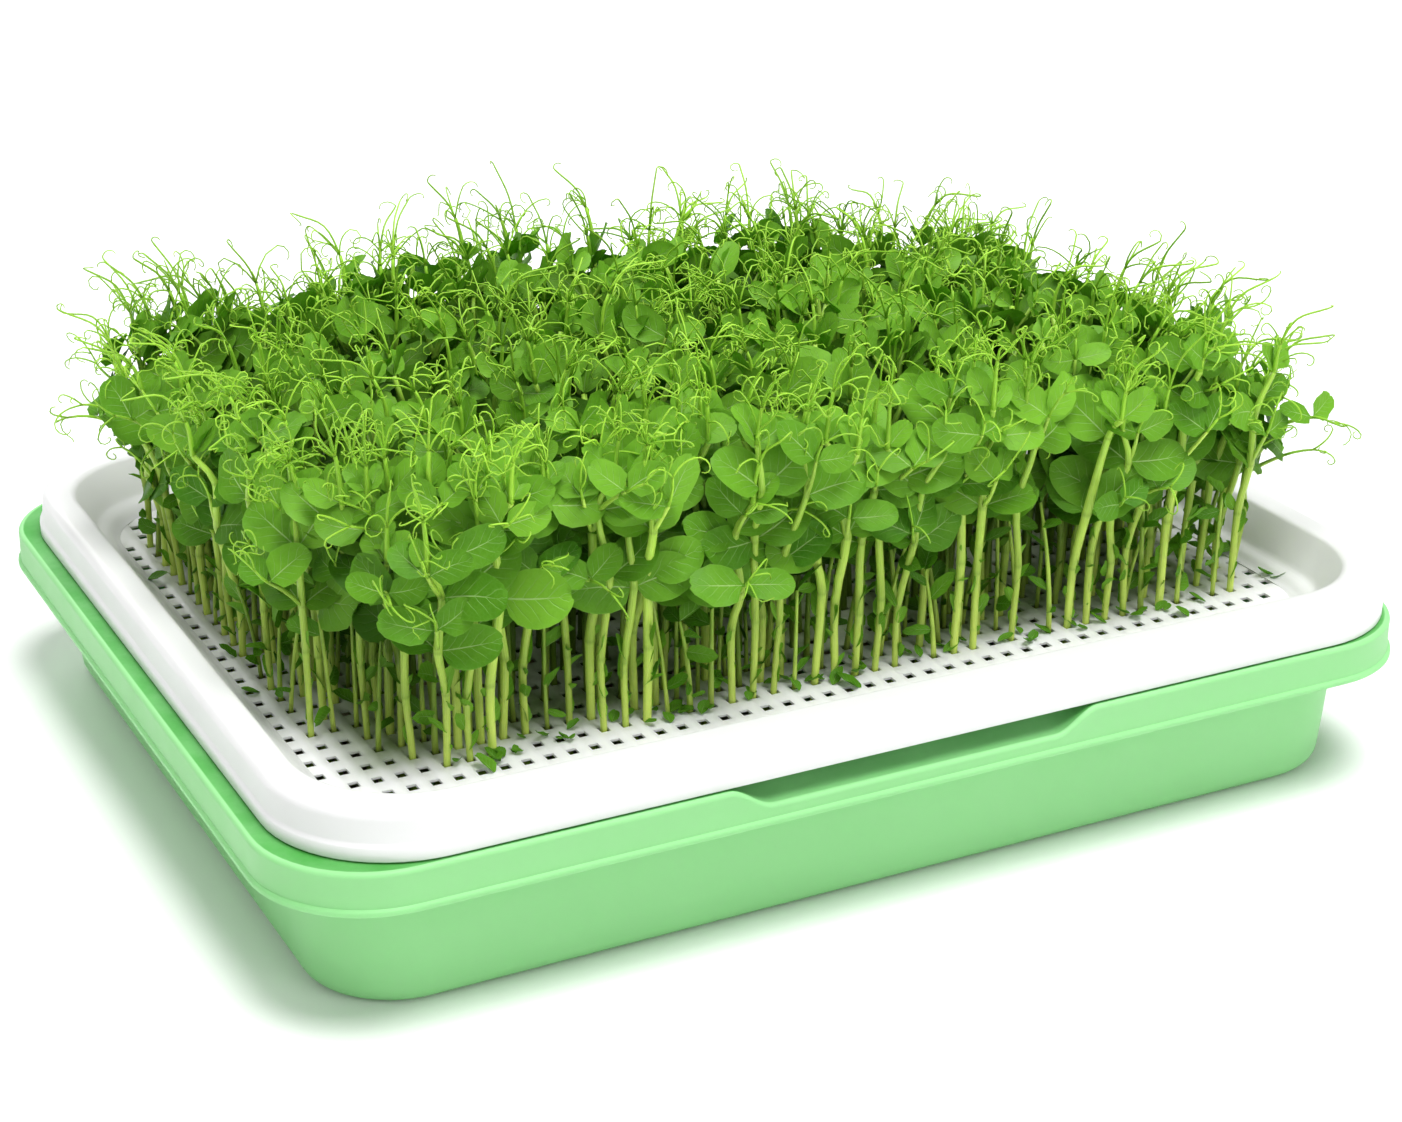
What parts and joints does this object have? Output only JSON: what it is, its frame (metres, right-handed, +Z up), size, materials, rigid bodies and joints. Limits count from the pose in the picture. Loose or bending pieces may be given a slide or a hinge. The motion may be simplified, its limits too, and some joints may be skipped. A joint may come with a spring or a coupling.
{
  "type": "pea shoot microgreens tray",
  "caption": "Rectangular sprouting tray: an open-plate growing tray on a water tray with finger notches, filled with upright pea shoots with oval leaves and curling tendrils.",
  "frame": {"origin": "middle of the water tray's flat underside", "axes": "+X along the long side, +Y across to the far long side, +Z up"},
  "size_m": [0.3468, 0.2804, 0.1549],
  "materials": {
    "green_plastic": "satin",
    "white_plastic": "gloss",
    "pea_shoot": "satin leaf"
  },
  "bodies": {
    "root": {"water_tray": "green_plastic", "grow_tray": "white_plastic", "pea_shoots_1_1": "pea_shoot", "pea_shoots_1_2": "pea_shoot", "pea_shoots_1_3": "pea_shoot", "pea_shoots_1_4": "pea_shoot", "pea_shoots_1_5": "pea_shoot", "pea_shoots_2_1": "pea_shoot", "pea_shoots_2_2": "pea_shoot", "pea_shoots_2_3": "pea_shoot", "pea_shoots_2_4": "pea_shoot", "pea_shoots_2_5": "pea_shoot", "pea_shoots_3_1": "pea_shoot", "pea_shoots_3_2": "pea_shoot", "pea_shoots_3_3": "pea_shoot", "pea_shoots_3_4": "pea_shoot", "pea_shoots_3_5": "pea_shoot"}
  },
  "joints": []
}
